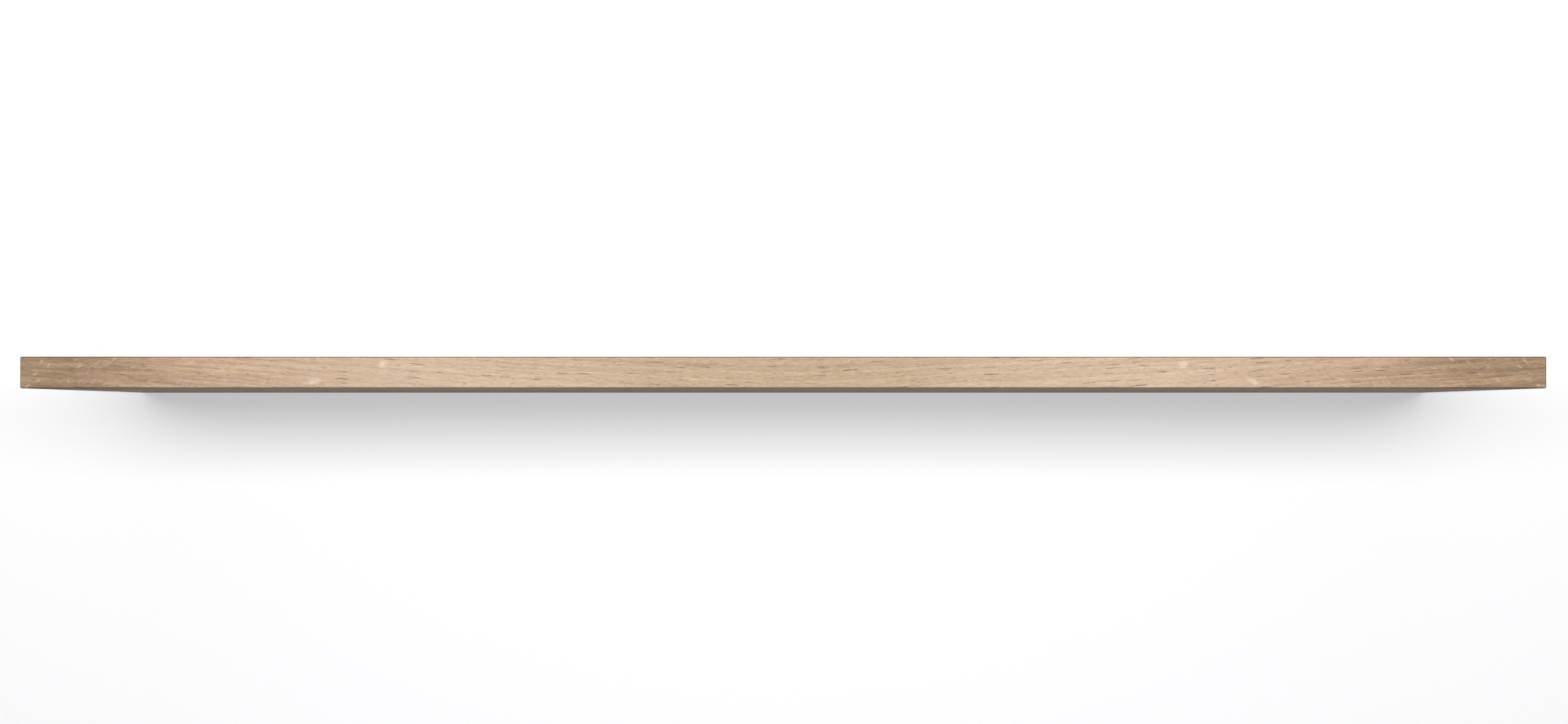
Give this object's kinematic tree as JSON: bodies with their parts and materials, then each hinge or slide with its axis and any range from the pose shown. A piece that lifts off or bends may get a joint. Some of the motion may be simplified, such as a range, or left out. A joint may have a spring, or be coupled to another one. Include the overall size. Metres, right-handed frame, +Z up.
{
  "type": "floating wall shelf",
  "caption": "Straight solid oak floating shelf with square eased edges, its board sliding onto hidden steel rod brackets that are screwed and plugged to a wall.",
  "frame": {"origin": "middle of the middle bracket's back face, on the wall, at half the thickness of the board", "axes": "+X along the board to the right as seen from the room, +Y square into the wall, +Z up; the room is on the -Y side"},
  "size_m": [1.2, 0.2462, 0.025],
  "materials": {
    "oak": "satin",
    "bracket_steel": "satin",
    "screw_steel": "satin",
    "plug_nylon": "matte"
  },
  "bodies": {
    "wall_brackets": {"left_wall_plate": "bracket_steel", "left_support_rod": "bracket_steel", "left_wall_screw_1": "screw_steel", "left_wall_plug_1": "plug_nylon", "left_wall_screw_2": "screw_steel", "left_wall_plug_2": "plug_nylon", "middle_wall_plate": "bracket_steel", "middle_support_rod": "bracket_steel", "middle_wall_screw_1": "screw_steel", "middle_wall_plug_1": "plug_nylon", "middle_wall_screw_2": "screw_steel", "middle_wall_plug_2": "plug_nylon", "right_wall_plate": "bracket_steel", "right_support_rod": "bracket_steel", "right_wall_screw_1": "screw_steel", "right_wall_plug_1": "plug_nylon", "right_wall_screw_2": "screw_steel", "right_wall_plug_2": "plug_nylon"},
    "board": {"front_stave": "oak", "second_stave": "oak", "middle_stave": "oak", "fourth_stave": "oak", "rear_stave": "oak"}
  },
  "joints": [
    {"name": "board_slide", "type": "slide", "parent": "wall_brackets", "child": "board", "axis": [0, -1, 0], "range_m": [0, 0.15]}
  ]
}
